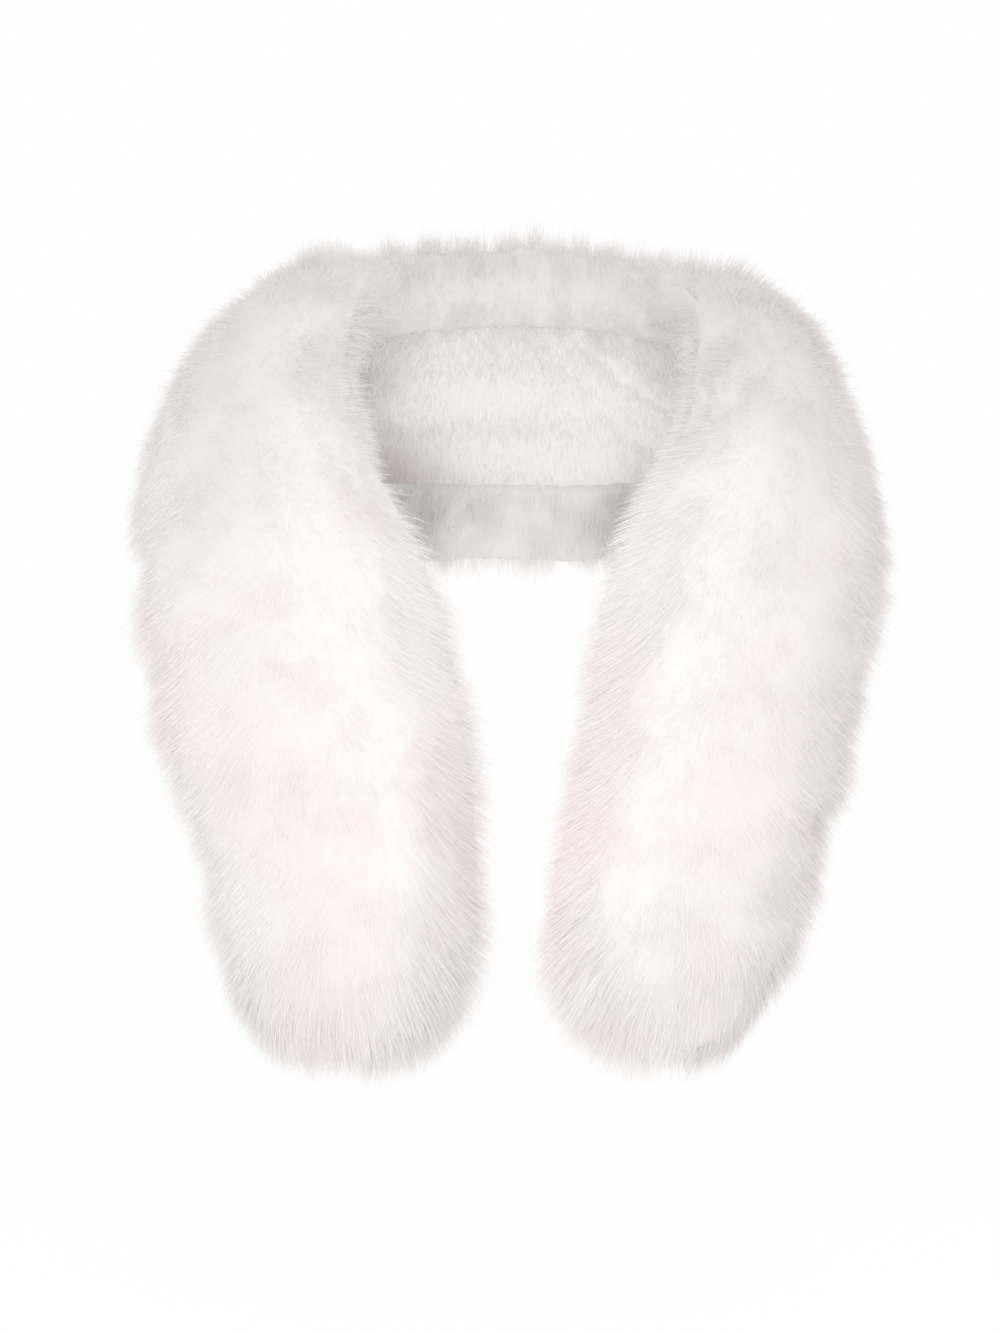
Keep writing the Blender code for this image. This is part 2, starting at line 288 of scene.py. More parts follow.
@dataclass
class Course:
    """The strip's way through its stations, by the distance along its middle from the nape."""

    stations: Sequence[Station] = STATIONS
    step: float = 0.5

    def __post_init__(self) -> None:
        """Measures the knots and their slopes."""
        self.rows = np.array(
            [(*s.neck_edge, *s.outer_edge, s.neck_pile, s.outer_pile, s.height) for s in self.stations],
            dtype=float,
        )
        middles = (self.rows[:, 0:3] + self.rows[:, 3:6]) / 2
        chords = np.linalg.norm(np.diff(middles, axis=0), axis=1)
        knots = np.concatenate(([0.0], np.cumsum(chords)))
        names = [s.name for s in self.stations]
        self.knots = knots - knots[names.index("nape")]
        self.place = dict(zip(names, self.knots))
        self.slopes = np.gradient(self.rows, self.knots, axis=0)

    def at(self, places: Array) -> Array:
        """The table's columns at some places, by a cubic through the rows.

        Args:
            places: distances along the course, in millimetres.

        Returns:
            One row of nine columns for each place.
        """
        inside = np.clip(places, self.knots[0], self.knots[-1])
        index = np.clip(np.searchsorted(self.knots, inside, side="right") - 1, 0, len(self.knots) - 2)
        span = (self.knots[index + 1] - self.knots[index])[:, None]
        t = (inside - self.knots[index])[:, None] / span
        return (
            (1 + 2 * t) * (1 - t) ** 2 * self.rows[index]
            + t * t * (3 - 2 * t) * self.rows[index + 1]
            + span * t * (1 - t) ** 2 * self.slopes[index]
            + span * t * t * (t - 1) * self.slopes[index + 1]
        )

    def sections(self, places: Array) -> Sections:
        """The sections at some places, square to the course.

        Args:
            places: distances along the course, in millimetres.

        Returns:
            The sections, one row for each place.
        """
        row = self.at(places)
        neck_edge, outer_edge = row[:, 0:3], row[:, 3:6]
        width = np.linalg.norm(neck_edge - outer_edge, axis=1)
        across = (neck_edge - outer_edge) / width[:, None]
        before, after = self.at(places - self.step), self.at(places + self.step)
        ahead = (after[:, 0:3] + after[:, 3:6]) - (before[:, 0:3] + before[:, 3:6])
        along = unit(ahead - across * np.sum(ahead * across, axis=1)[:, None])
        return Sections(
            middle=(neck_edge + outer_edge) / 2,
            along=along,
            across=across,
            out=np.cross(across, along),
            half=width / 2,
            neck_pile=row[:, 6],
            outer_pile=row[:, 7],
            height=row[:, 8],
        )

    def past_hem(self, places: Array) -> Array:
        """How far places are past the nearer hem: below 0 inside the strip."""
        return np.maximum(self.knots[0] - places, places - self.knots[-1])

    def nearer_hem(self, places: Array) -> Array:
        """The place of the hem on the same side of the nape."""
        return np.where(places > 0, self.knots[-1], self.knots[0])

    def patches(self, forms: Sequence[Form]) -> list[Patch]:
        """Forms of the pile as patches along the course."""
        return [Patch(self.place[f.station] + f.along, f.turn, f.length, f.spread, f.rise) for f in forms]


@dataclass
class PileGrid:
    """Hairs by rows along the strip and columns round its section: where they root, and where they end."""

    root: Array
    tip: Array
    start: Array
    outward: Array
    down: Array
    around: Array
    along: Array
    across: Array
    place: Array
    turn: Array

    def at(self, row: Array, column: Array, u: Array, v: Array) -> "PileGrid":
        """Reads hairs inside cells of the grid.

        Args:
            row: the cells' rows.
            column: the cells' columns.
            u: the shares of the way through the cells, from row to row.
            v: the same from column to column.

        Returns:
            The hairs, one row each, with their directions at length 1.
        """
        weights = ((1 - u) * (1 - v), u * (1 - v), (1 - u) * v, u * v)
        spots = ((row, column), (row + 1, column), (row, column + 1), (row + 1, column + 1))
        read = {}
        for name, values in vars(self).items():
            shape = (-1,) + (1,) * (values.ndim - 2)
            read[name] = sum(weight.reshape(shape) * values[spot] for weight, spot in zip(weights, spots))
        for name in ("start", "outward", "along", "across"):
            read[name] = unit(read[name])
        return PileGrid(**read)

    def sideways(self) -> Array:
        """The directions across the hairs and the strip's course."""
        return np.cross(self.outward, self.along)


@dataclass
class WornStrip:
    """The strip as worn, and the surfaces of its cloth and its pile."""

    course: Course = field(default_factory=Course)
    lining_thickness: float = 2.5
    face_gap: float = 0.3
    edge_gap: float = 0.8
    crown: float = 7.0
    lip_depth: float = 9.0
    hem_pile: float = 37.0
    hem_corner: float = 24.0
    hem_slope_start: float = 16.0
    tip_height: float = 12.0
    tip_thickness: float = 0.07
    fullness: float = 2.35
    seam_pinch_reach: float = 15.0
    seam_pinches: tuple[tuple[str, float], ...] = ((RIGHT_SEAM, 2.0), (LEFT_SEAM, 4.0))
    waves: tuple[Triple, ...] = ((83.0, 1.5, 1.3), (52.0, -2.5, 1.2), (36.0, 4.0, 1.0))
    hem_root_reach: float = 34.0
    hem_closing: float = 6.0
    nap: float = 24.0
    nap_start: float = 150.0
    root_inset: float = 0.985
    under_turns: Span = (0.0, 50.0)
    stiffness: float = 0.6
    face_lean: float = 0.4
    face_lean_turns: Span = (-20.0, 30.0)
    lip_lean: float = 0.3
    lip_lean_turns: Span = (20.0, 75.0)

    def corner_inset(self, past_hem: Array) -> Array:
        """How far the cut's rounded corner has drawn in each edge."""
        reach = self.hem_corner - np.clip(-past_hem, 0.0, self.hem_corner)
        return self.hem_corner - np.sqrt(self.hem_corner**2 - reach**2)

    def cloth_rise(self, places: Array, across: Array) -> Array:
        """The cloth's own height: its crown and its folds.

        Args:
            places: distances along the course, in millimetres.
            across: -1 at the outer edge to 1 at the neck edge.

        Returns:
            The rise in millimetres, by the two inputs' common shape.
        """
        folds = []
        for fold in FOLDS:
            centre = self.course.place[fold.station] + fold.along + fold.lean * across
            folds.append(Patch(centre, fold.across, fold.length, fold.width, fold.rise))
        return add_patches(self.crown * (1 - across * across) + 0 * places, folds, places, across)

    def pile_rise(self, places: Array, turns: Array) -> Array:
        """Dents, swellings, seam pinches and soft unevenness of the pile's outer side.

        Args:
            places: distances along the course, in millimetres.
            turns: degrees round the section.

        Returns:
            The rise in millimetres, by the two inputs' common shape.
        """
        rise = add_patches(0.0 * places * turns, self.course.patches(SWELLINGS), places, turns)
        for seam, depth in self.seam_pinches:
            rise = rise - depth * bell(places - self.course.place[seam], self.seam_pinch_reach)
        for wavelength, turned, height in self.waves:
            rise = rise + height * np.sin(2 * math.pi * places / wavelength + turned * np.radians(turns))
        return rise

    def cloth(self, places: Array, columns: Array, lift: float | Array) -> Array:
        """A grid of points on the cloth, raised by lift.

        Args:
            places: distances along the course, in millimetres.
            columns: -1 at the outer edge to 1 at the neck edge, one row for all places or one for each.
            lift: millimetres towards the fur.

        Returns:
            Points by place and column.
        """
        columns = np.atleast_2d(columns)
        s = self.course.sections(places)
        half = s.half - self.corner_inset(self.course.past_hem(places))
        rise = self.cloth_rise(places[:, None], columns) + lift
        across = (columns * half[:, None])[..., None]
        return s.middle[:, None] + s.across[:, None] * across + s.out[:, None] * rise[..., None]

    def pile_reach(self, half: Array, pile: Array, past_hem: Array) -> Array:
        """How far from the strip's middle the pile reaches at one edge, round the cut's corner too.

        Args:
            half: half the strip's width, in millimetres.
            pile: how far the pile stands past the edge.
            past_hem: millimetres past the hem.

        Returns:
            One column of distances in millimetres.
        """
        radius = self.hem_corner + pile
        run = radius * (self.hem_corner + past_hem) / (self.hem_corner + self.hem_pile)
        drop = np.sqrt(np.maximum(radius**2 - np.maximum(run, 0.0) ** 2, 0.0))
        round_corner = half - self.hem_corner + drop
        return np.where(past_hem <= -self.hem_corner, half + pile, round_corner)[:, None]

    def closing(self, past_hem: Array) -> Array:
        """How far the pile has closed under a hem, from 0 to 1."""
        return ease(past_hem, -self.hem_closing, self.hem_closing)[:, None]

    def skin(self, s: Sections, places: Array, past_hem: Array, turn: Array) -> tuple[Array, Array, Array]:
        """The pile's skin in its sections.

        Args:
            s: the sections.
            places: distances along the course, in millimetres.
            past_hem: millimetres past the hem at each place.
            turn: degrees round the section, in one row.

        Returns:
            How far across and how far out the skin is, and how far it reaches on its own side.
        """
        slope = np.clip((past_hem + self.hem_slope_start) / (self.hem_pile + self.hem_slope_start), 0.0, 1.0)
        share = np.maximum((1 - slope**self.fullness) ** (1 / self.fullness), self.tip_thickness)[:, None]
        base = self.tip_height * (1 - share)
        edge = (s.half - self.corner_inset(past_hem) + self.edge_gap)[:, None] * (1 - self.closing(past_hem))

        held = np.clip(turn, 0.0, HALF_TURN)
        cosine, sine = np.cos(np.radians(held)), np.sin(np.radians(held))
        neck_reach = self.pile_reach(s.half, s.neck_pile, past_hem)
        outer_reach = self.pile_reach(s.half, s.outer_pile, past_hem)
        reach = np.where(cosine > 0, neck_reach, outer_reach)
        power = 2 / self.fullness
        rise = self.pile_rise(places[:, None], held) * share
        across = reach * np.copysign(np.abs(cosine) ** power, cosine) + rise * cosine
        out = base + s.height[:, None] * share * sine**power + rise * sine

        roll = np.radians(np.maximum(past_edges(turn), 0.0))
        rolled = edge + (reach - edge) * np.cos(roll)
        lip = past_edges(turn) > 0
        across = np.where(lip, np.where(turn < 0, 1.0, -1.0) * rolled, across)
        out = np.where(lip, base - self.lip_depth * share * np.sin(roll), out)
        return across, out, reach

    def root_places(self, places: Array, past_hem: Array) -> Array:
        """Where along the strip hairs root: closer together at a hem, and back from where they end.

        Args:
            places: distances along the course, in millimetres.
            past_hem: millimetres past the nearer hem.

        Returns:
            The roots' distances along the course.
        """
        side = np.where(places > 0, 1.0, -1.0)
        reach = self.hem_root_reach
        closer = -reach * (self.hem_pile - past_hem) / (self.hem_pile + reach)
        root = np.where(past_hem > -reach, self.course.nearer_hem(places) + side * closer, places)
        return root - side * self.nap * ease(np.abs(places), 0.0, self.nap_start)

    def pile(self, places: Array, past: Array, turns: Array) -> PileGrid:
        """Where the pile roots and ends.

        Args:
            places: distances along the course, in millimetres.
            past: millimetres past the hem at each place.
            turns: degrees round the section: 0 neck edge, 90 middle, 180 outer edge; rolled edges lie beyond.

        Returns:
            The grid of hairs, by place and turn.
        """
        s = self.course.sections(places)
        past_hem = self.course.past_hem(places) + past
        turn = turns[None, :]
        across, out, reach = self.skin(s, places, past_hem, turn)
        shift = np.where(places > 0, 1.0, -1.0) * past
        hair_places = places + shift
        middle = s.middle + s.along * shift[:, None]
        tip = middle[:, None] + s.across[:, None] * across[..., None] + s.out[:, None] * out[..., None]

        root_places = self.root_places(places, past_hem)
        level = np.clip(across / reach, -1.0, 1.0) * self.root_inset
        under = (self.closing(past_hem) * ease(past_edges(turn), *self.under_turns))[..., None]
        root = self.cloth(root_places, level, self.face_gap) * (1 - under)
        under_hem = self.cloth(self.course.nearer_hem(places), level, -self.lining_thickness / 2)
        root = root + under_hem * under

        down = np.gradient(tip, hair_places, axis=0)
        around = np.gradient(tip, turns, axis=1)
        outward = unit(np.cross(down, around))
        facing = np.sign(np.sum(outward * unit(tip - root), axis=-1, keepdims=True))
        lean = self.face_lean - self.face_lean * ease(past_edges(turn), *self.face_lean_turns)
        lean = lean - self.lip_lean * ease(past_edges(turn), *self.lip_lean_turns)
        out_of_cloth = self.course.sections(root_places).out[:, None]
        return PileGrid(
            root=root,
            tip=tip,
            start=unit(unit(tip - root) * self.stiffness + out_of_cloth * lean[..., None]),
            outward=outward * np.where(facing == 0, 1.0, facing),
            down=down,
            around=around,
            along=np.broadcast_to(s.along[:, None], tip.shape),
            across=np.broadcast_to(s.across[:, None], tip.shape),
            place=np.broadcast_to(hair_places[:, None], tip.shape[:2]),
            turn=np.broadcast_to(turn, tip.shape[:2]),
        )


@dataclass(frozen=True)
class Value:
    """An output socket that Python's own operators work on."""

    maker: "NodeMaker"
    socket: NodeSocket

    def math(self, operation: str, first: "Number", second: "Number") -> "Value":
        """One Math node on two numbers."""
        return self.maker.value("ShaderNodeMath", {"operation": operation}, {0: first, 1: second})

    def __add__(self, other: "Number") -> "Value":
        """Self + other."""
        return self.math("ADD", self, other)

    __radd__ = __add__

    def __mul__(self, other: "Number") -> "Value":
        """Self * other."""
        return self.math("MULTIPLY", self, other)

    __rmul__ = __mul__

    def __sub__(self, other: "Number") -> "Value":
        """Self - other."""
        return self.math("SUBTRACT", self, other)

    def __rsub__(self, other: "Number") -> "Value":
        """Other - self."""
        return self.math("SUBTRACT", other, self)


Number = float | Value
Settings = Mapping[str, object]
Sockets = Mapping[int | str, object]


@dataclass
class NodeMaker:
    """Adds nodes to one material's tree."""

    tree: NodeTree

    def node(self, kind: str, settings: Settings, values: Sockets) -> Node:
        """Adds a node.

        Args:
            kind: the node's type.
            settings: its properties, set first.
            values: numbers, colours or other nodes' values for its inputs, by name or index.

        Returns:
            The node.
        """
        made = self.tree.nodes.new(kind)
        for name, setting in settings.items():
            setattr(made, name, setting)
        for key, given in values.items():
            if isinstance(given, Value):
                self.tree.links.new(given.socket, made.inputs[key])
            else:
                made.inputs[key].default_value = given
        return made

    def value(self, kind: str, settings: Settings, values: Sockets, output: int | str = 0) -> Value:
        """Adds a node and gives one of its outputs."""
        return Value(self, self.node(kind, settings, values).outputs[output])

    def mix(self, share: Number, low: Colour | Value, high: Colour | Value) -> Value:
        """A colour between low and high."""
        ends = [end if isinstance(end, Value) else (*end, 1.0) for end in (low, high)]
        sockets = {0: share, **dict(zip(MIX_ENDS, ends))}
        return self.value("ShaderNodeMix", {"data_type": "RGBA"}, sockets, MIX_RESULT)

    def shaded(self, colour: Value, shade: Number) -> Value:
        """A colour darkened by a number."""
        shades = self.value("ShaderNodeCombineXYZ", {}, {0: shade, 1: shade, 2: shade})
        return self.value("ShaderNodeVectorMath", {"operation": "MULTIPLY"}, {0: colour, 1: shades})

    def noise(self, where: Value, scale: float, detail: float = 2.0, roughness: float = 0.5) -> Value:
        """Soft noise over a place, in waves to the metre."""
        sockets = {"Vector": where, "Scale": scale, "Detail": detail, "Roughness": roughness}
        return self.value("ShaderNodeTexNoise", {}, sockets, "Fac")

    def place(self) -> Value:
        """The object's own coordinates."""
        return self.value("ShaderNodeTexCoord", {}, {}, "Object")

    def attribute(self, name: str) -> Value:
        """A number that the mesh keeps for each vertex."""
        return self.value("ShaderNodeAttribute", {"attribute_name": name}, {}, "Fac")

    def share(self, number: Value, ends: Span) -> Value:
        """A smooth step of a number from 0 at the first end to 1 at the second."""
        sockets = {"Value": number, "From Min": ends[0], "From Max": ends[1]}
        return self.value("ShaderNodeMapRange", {"interpolation_type": "SMOOTHSTEP"}, sockets)

    def surface(self, colour: Value, roughness: float, **sockets: object) -> Value:
        """The main shader, with its other sockets by their names."""
        values = {"Base Color": colour, "Roughness": roughness, **sockets}
        return self.value("ShaderNodeBsdfPrincipled", {}, values)

    def finish(self, shader: Value) -> None:
        """Makes a shader the material's surface."""
        self.node("ShaderNodeOutputMaterial", {}, {"Surface": shader})


def new_material(name: str) -> tuple[Material, NodeMaker]:
    """Makes an empty node material.

    Args:
        name: the material's name.

    Returns:
        The material and the maker of its nodes.
    """
    material = bpy.data.materials.new(name)
    material.use_nodes = True
    material.node_tree.nodes.clear()
    return material, NodeMaker(material.node_tree)


@dataclass(frozen=True)
class FurFinish:
    """Long soft off-white pile, with a faint pink and cream cast, and painted shade: greyer above, darker
    towards the roots, on its rims and hems, atop the nape and in the fringe's corners.
    """

    name: str = "white_fur"
    cream: Colour = (0.843, 0.796, 0.773)
    pink: Colour = (0.858, 0.765, 0.754)
    # Painted shade: the greys that the pile turns to above, where its upper sides face away from the light.
    shade_grey: Colour = (0.762, 0.733, 0.717)
    shade_grey_pink: Colour = (0.778, 0.721, 0.712)
    # Painted shade: the dark colour mixed in on the pile's shaded rims, hems, nape top, fringe corners and
    # lock gaps.
    dull: Colour = (0.356, 0.332, 0.309)
    patch_scale: float = 7.5
    patch_ends: Span = (0.36, 0.60)
    top_shade_scale: float = 8.0
    top_shade_wander: float = 0.12
    top_shade_heights: Span = (-0.09, 0.03)
    # Painted shade towards the hairs' roots, deep in the pile.
    painted_root_shade: float = 0.62
    root_shade_depths: Span = (0.30, 0.60)
    odd_shade: float = 0.02
    roughness: float = 0.75
    sheen: float = 0.25
    through: float = 0.35

    def build(self) -> Material:
        """Makes the material.

        Returns:
            The material.
        """
        material, maker = new_material(self.name)
        where = maker.place()
        height = maker.value("ShaderNodeSeparateXYZ", {}, {0: where}, "Z")
        patches = maker.share(maker.noise(where, self.patch_scale), self.patch_ends)
        warm = maker.mix(patches, self.cream, self.pink)
        shaded_tint = maker.mix(patches, self.shade_grey, self.shade_grey_pink)
        wander = (maker.noise(where, self.top_shade_scale, 1.0) - 0.5) * self.top_shade_wander
        # Painted shade, greyer above a wandering height.
        top_shade = maker.share(height + wander, self.top_shade_heights)
        # Painted shade, by the share that each vertex keeps.
        tint = maker.mix(maker.attribute("dull"), maker.mix(top_shade, warm, shaded_tint), self.dull)
        # Painted shade, darker towards the roots where the tip share is low.
        deep = maker.share(maker.attribute("tip_share"), self.root_shade_depths)
        odd = maker.attribute("hair") * self.odd_shade + (1 - self.odd_shade)
        colour = maker.shaded(tint, (deep * (1 - self.painted_root_shade) + self.painted_root_shade) * odd)
        shader = maker.surface(colour, self.roughness, **{"Sheen Weight": self.sheen})
        light = maker.value("ShaderNodeBsdfTranslucent", {}, {"Color": colour})
        maker.finish(maker.value("ShaderNodeMixShader", {}, {0: self.through, 1: shader, 2: light}))
        return material


@dataclass(frozen=True)
class PlushFinish:
    """Short brushed plush, very pale pinkish white, with painted shade in its hollows and troughs."""

    name: str = "plush_lining"
    pale: Colour = (0.70, 0.66, 0.645)
    pink: Colour = (0.70, 0.635, 0.625)
    # Painted shade: the colour that the lining's hollows and troughs are mixed towards.
    deep: Colour = (0.28, 0.225, 0.215)
    patch_scale: float = 16.0
    patch_ends: Span = (0.35, 0.65)
    detail: float = 3.0
    fine_scale: float = 420.0
    fine_roughness: float = 0.6
    fine_share: float = 0.5
    nap_scale: float = 95.0
    bump: float = 0.35
    bump_height: float = 0.0012
    roughness: float = 0.9
    sheen: float = 0.5

    def build(self) -> Material:
        """Makes the material.

        Returns:
            The material.
        """
        material, maker = new_material(self.name)
        where = maker.place()
        patches = maker.share(maker.noise(where, self.patch_scale, self.detail), self.patch_ends)
        fine = maker.noise(where, self.fine_scale, self.detail, self.fine_roughness)
        relief = fine * self.fine_share + maker.noise(where, self.nap_scale)
        # Painted shade in the lining's hollows and troughs.
        colour = maker.mix(maker.attribute("hollow_shade"), maker.mix(patches, self.pale, self.pink), self.deep)
        sockets = {"Strength": self.bump, "Distance": self.bump_height, "Height": relief}
        bump = maker.value("ShaderNodeBump", {}, sockets, "Normal")
        maker.finish(maker.surface(colour, self.roughness, **{"Sheen Weight": self.sheen, "Normal": bump}))
        return material


@dataclass(frozen=True)
class KnitFinish:
    """The fur's backing: a plain pale knitted cloth."""

    name: str = "knit_backing"
    pale: Colour = (0.80, 0.78, 0.76)
    dark: Colour = (0.62, 0.60, 0.58)
    stitches: float = 700.0
    roughness: float = 0.9

    def build(self) -> Material:
        """Makes the material.

        Returns:
            The material.
        """
        material, maker = new_material(self.name)
        sockets = {"Vector": maker.place(), "Scale": self.stitches}
        rows = maker.value("ShaderNodeTexWave", {"bands_direction": "Z"}, sockets, "Fac")
        maker.finish(maker.surface(maker.mix(rows, self.dark, self.pale), self.roughness))
        return material


def new_mesh_object(name: str, points: Array, faces: Sequence[Array], material: Material) -> Object:
    """Makes a named mesh object that rides on the wrap.

    Args:
        name: the piece's name.
        points: its vertices in millimetres.
        faces: arrays of faces, each array with one number of corners.
        material: its finish.

    Returns:
        The object.
    """
    mesh = bpy.data.meshes.new(name)
    mesh.vertices.add(len(points))
    mesh.vertices.foreach_set("co", (points * MM).astype(np.float32).ravel())
    corners = np.concatenate([group.ravel() for group in faces])
    sizes = np.concatenate([np.full(len(group), group.shape[1]) for group in faces])
    mesh.loops.add(len(corners))
    mesh.loops.foreach_set("vertex_index", corners.astype(np.int32))
    mesh.polygons.add(len(sizes))
    starts = np.concatenate(([0], np.cumsum(sizes)[:-1]))
    mesh.polygons.foreach_set("loop_start", starts.astype(np.int32))
    mesh.update(calc_edges=True)
    mesh.validate()
    mesh.shade_smooth()
    mesh.materials.append(material)
    obj = bpy.data.objects.new(name, mesh)
    bpy.context.scene.collection.objects.link(obj)
    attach(obj, BODY)
    return obj


def set_attribute(mesh: Mesh, name: str, values: Array) -> None:
    """Gives every vertex a number."""
    attribute = mesh.attributes.new(name, "FLOAT", "POINT")
    attribute.data.foreach_set("value", values.astype(np.float32).ravel())


def set_bake_map(mesh: Mesh, spots: Array) -> None:
    """Lays a mesh's faces out flat.

    Args:
        mesh: the mesh.
        spots: one spot in the unit square for each vertex.
    """
    layer = mesh.uv_layers.new(name="OFBake")
    corner = np.empty(len(mesh.loops), dtype=np.int32)
    mesh.loops.foreach_get("vertex_index", corner)
    layer.uv.foreach_set("vector", spots[corner].astype(np.float32).ravel())


def hair_cells(count: int, corners: Sequence[Span]) -> Array:
    """Flat spots for hairs in cells of their own, row by row.

    Args:
        count: how many hairs.
        corners: the hair's vertices inside its cell, from 0 to 1.

    Returns:
        One spot for each vertex.
    """
    across = math.ceil(math.sqrt(count))
    cell = np.stack((np.arange(count) % across, np.arange(count) // across), axis=1)[:, None]
    return ((cell + np.array(corners)[None]) / across).reshape(-1, 2)


def grid_cells(rows: int, columns: int, height: float = 1.0) -> Array:
    """Flat spots for a grid of points, in the unit square's width and some of its height."""
    across, up = np.linspace(MAP_EDGE, 1 - MAP_EDGE, columns), np.linspace(MAP_EDGE, height - MAP_EDGE, rows)
    u, v = np.meshgrid(across, up)
    return np.stack((u, v), axis=-1).reshape(-1, 2)


def grid_faces(index: Array) -> Array:
    """The four-sided faces of a grid of points, by the points' numbers."""
    corners = index[:-1, :-1], index[:-1, 1:], index[1:, 1:], index[1:, :-1]
    return np.stack([corner.ravel() for corner in corners], axis=1)


@dataclass(frozen=True)
class Locks:
    """Hairs gathered in locks: cells of a jittered lattice over the pile."""

    size: float
    pull: float
    fringe_pull: float
    lean: float
    uneven: float
    seed: int
    lattice: int = 128

    def gather(self, place: Array, arc: Array) -> tuple[Array, Array, Array]:
        """Finds each hair's lock.

        Args:
            place: millimetres along the strip.
            arc: millimetres round the section.

        Returns:
            The way to the lock's middle along the strip and round it, and its three numbers from -1 to 1.
        """
        table = np.random.default_rng(self.seed).random((self.lattice, self.lattice, 5))
        column = np.floor(place / self.size).astype(int)
        row = np.floor(arc / self.size).astype(int)
        nearest = np.full(len(place), np.inf)
        own = np.zeros((len(place), 3))
        ahead, aside = np.zeros(len(place)), np.zeros(len(place))
        for step, turned in product((-1, 0, 1), repeat=2):
            i, j = column + step, row + turned
            lock = table[i % self.lattice, j % self.lattice]
            x, y = (i + lock[:, 0]) * self.size - place, (j + lock[:, 1]) * self.size - arc
            closer = x * x + y * y < nearest
            nearest = np.where(closer, x * x + y * y, nearest)
            ahead, aside = np.where(closer, x, ahead), np.where(closer, y, aside)
            own = np.where(closer[:, None], lock[:, 2:5] * 2 - 1, own)
        return ahead, aside, own


@dataclass(frozen=True)
class Shading:
    """Where shade is painted into the pile's colour: its rims, its hems, the top of the nape and the fringe's
    deep corners.
    """

    right_rim: float = 0.08
    right_rim_turns: Span = (112.0, 150.0)
    left_rim: float = 0.30
    left_rim_turns: Span = (94.0, 120.0)
    rim_places: Span = (120.0, 240.0)
    inner_turns: Span = (60.0, 10.0)
    right_inner: float = 0.10
    right_inner_places: Span = (220.0, 300.0)
    right_low: float = 0.18
    right_low_places: Span = (340.0, 440.0)
    hem: float = 0.12
    hem_reach: Span = (-50.0, 20.0)
    top: float = 0.30
    top_turn: float = -16.0
    top_spread: float = 26.0
    top_places: Span = (120.0, 80.0)
    under_turns: Span = (20.0, 70.0)
    under_reach: Span = (-45.0, 0.0)
    corners: tuple[Patch, ...] = (
        Patch(-50.0, 218.0, 17.0, 50.0, 0.64),
        Patch(-42.0, 264.0, 24.0, 20.0, 0.5),
        Patch(63.0, 215.0, 17.0, 62.0, 1.25),
    )

    def dull(self, place: Array, turn: Array, past_hem: Array) -> Array:
        """How much shade is painted into the pile's colour.

        Args:
            place: millimetres along the strip.
            turn: degrees round the section.
            past_hem: millimetres past the nearer hem.

        Returns:
            The share of the painted shade colour, from 0 to 1.
        """
        left = self.left_rim * ease(turn, *self.left_rim_turns)
        right = self.right_rim * ease(turn, *self.right_rim_turns)
        inner = ease(turn, *self.inner_turns)
        top = bell(turn - self.top_turn, self.top_spread)
        share = np.where(place > 0, left, right) * ease(np.abs(place), *self.rim_places)
        share = share + self.hem * ease(past_hem, *self.hem_reach)
        share = share + self.right_low * ease(-place, *self.right_low_places) * inner
        share = share + self.right_inner * inner * ease(-place, *self.right_inner_places)
        share = share + self.top * top * ease(np.abs(place), *self.top_places)
        share = add_patches(share, self.corners, place, turn)
        under = ease(past_edges(turn), *self.under_turns) * ease(past_hem, *self.under_reach)
        return np.clip(share + (self.hem - share) * under, 0.0, 1.0)


@dataclass(frozen=True)
class Comb:
    """How far the hairs' ends lie from where they grow to, in millimetres."""

    hem_nap: float = 4.0
    hem_nap_reach: Span = (-90.0, 0.0)
    swirls: tuple[tuple[float, ...], ...] = ((3.5, 23.0, 0.031, 0.0), (2.5, 11.0, -0.047, 1.3))
    hem_sway: float = 5.0
    hem_sway_reach: Span = (-60.0, 20.0)
    droop: float = 24.0
    droop_turns: Span = (15.0, 60.0)
    sag: float = 16.0
    sag_place: float = 150.0
    sag_spread: float = 60.0
    sag_turns: Span = (-35.0, 30.0)
    jitter: float = 2.2
    sag_jitter: float = 2.6

    def ends(self, rng: Generator, hair: PileGrid, nape: Array, past_hem: Array) -> Array:
        """Moves the hairs' ends.

        Args:
            rng: the source of the unevenness.
            hair: the hairs.
            nape: how much each is on the nape, from 0 to 1.
            past_hem: millimetres past the nearer hem.

        Returns:
            The ends' new points.
        """
        place, turn, count = hair.place, hair.turn, len(hair.place)
        nap = np.sign(place) * self.hem_nap * ease(past_hem, *self.hem_nap_reach)
        swirl = 0.0
        for size, length, turned, phase in self.swirls:
            swirl = swirl + size * np.sin(place / length + turn * turned + phase)
        tip = hair.tip + hair.along * nap[:, None] + hair.sideways() * swirl[:, None]
        sway = self.hem_sway * ease(past_hem, *self.hem_sway_reach) * (place > 0)
        hang = self.droop * nape * ease(-turn, *self.droop_turns) * np.sqrt(rng.random(count))
        tip = tip + hair.across * sway[:, None] - hair.across * hang[:, None]
        shoulder = bell(np.abs(place) - self.sag_place, self.sag_spread) * ease(-turn, *self.sag_turns)
        tip = tip - np.array((0.0, 0.0, 1.0)) * (self.sag * shoulder * rng.random(count))[:, None]
        return tip + rng.normal(0.0, 1.0, tip.shape) * (self.jitter + self.sag_jitter * shoulder)[:, None]


